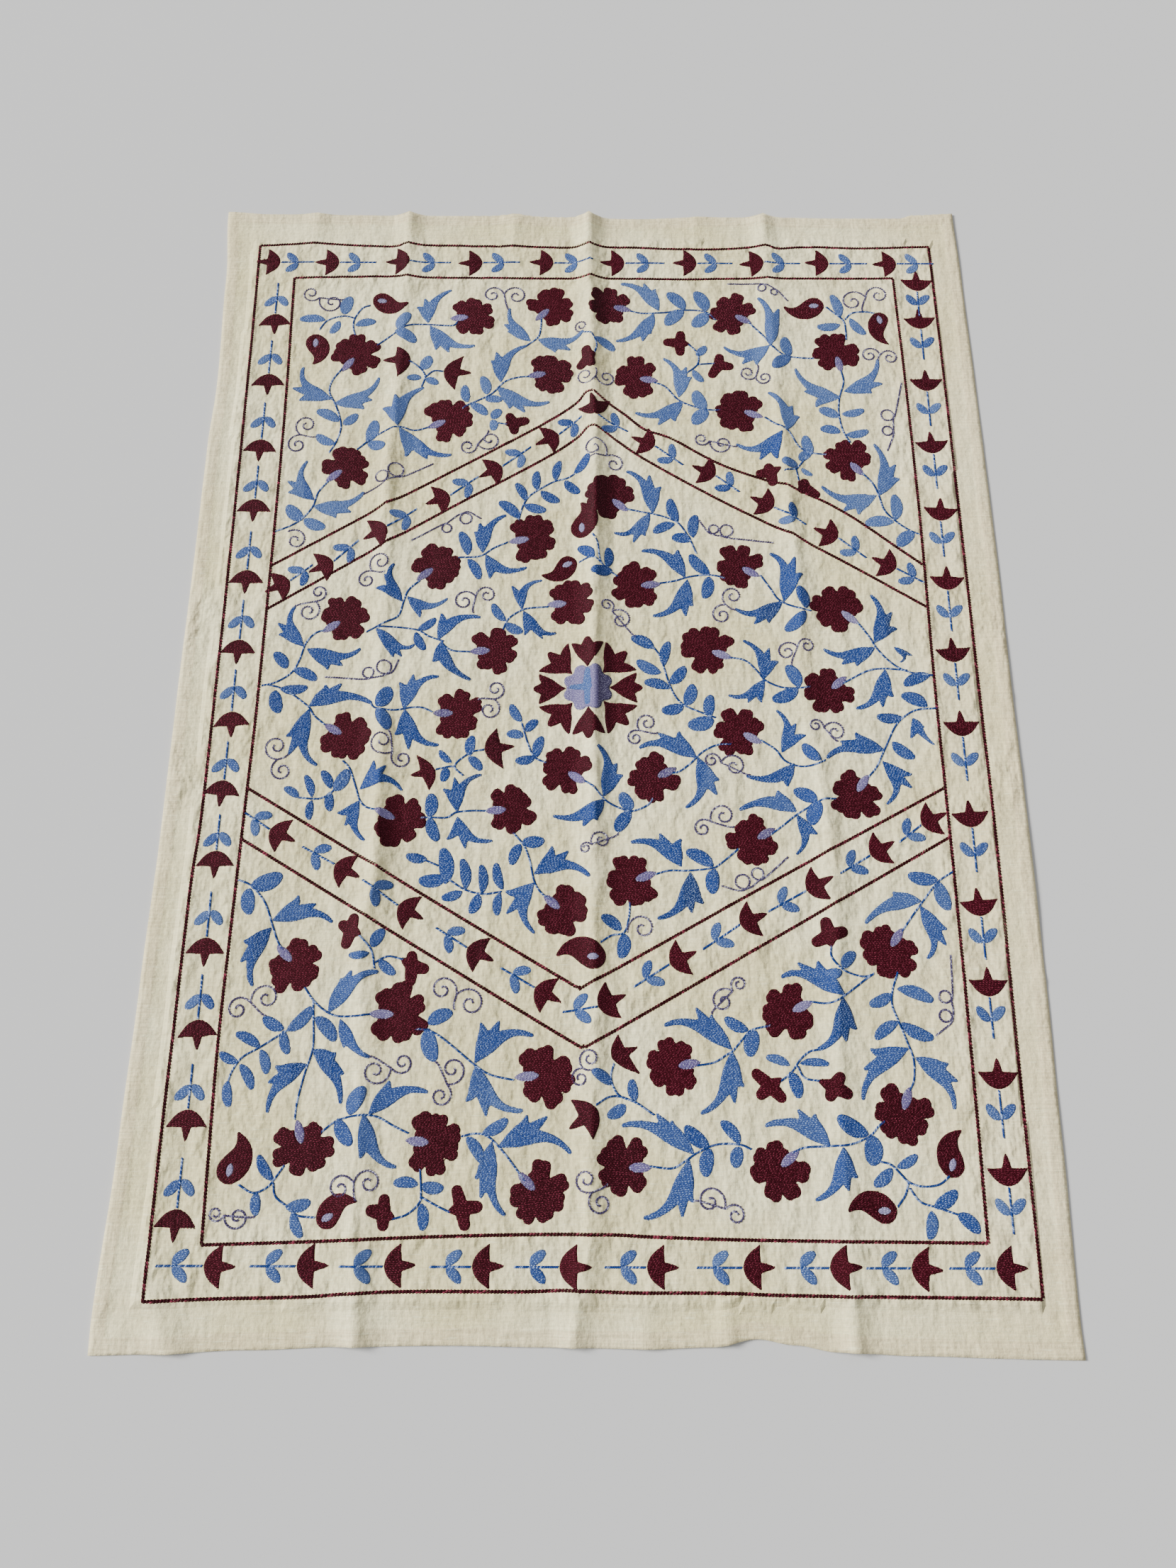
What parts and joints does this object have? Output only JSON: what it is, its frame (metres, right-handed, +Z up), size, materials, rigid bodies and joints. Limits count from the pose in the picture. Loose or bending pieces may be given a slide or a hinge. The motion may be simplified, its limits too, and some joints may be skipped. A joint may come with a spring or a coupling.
{
  "type": "suzani",
  "caption": "Flat embroidered cotton cloth with hemmed edges, laid out face up, its old fold lines standing as low ridges; used as a spread, wall cloth or throw.",
  "frame": {"origin": "on the floor, under the middle of the cloth", "axes": "+X across the cloth to the right of the embroidery, +Y along its length towards the upper end, +Z up off the floor"},
  "size_m": [1.4605, 2.083, 0.0201],
  "materials": {
    "natural_cotton": "matte unbleached plain-weave cotton",
    "burgundy_yarn": "couched cotton yarn with a soft sheen",
    "blue_yarn": "couched cotton yarn with a soft sheen",
    "lilac_yarn": "couched and chain-stitched cotton yarn with a soft sheen"
  },
  "bodies": {
    "root": {"ground_cloth": "natural_cotton"}
  },
  "joints": []
}
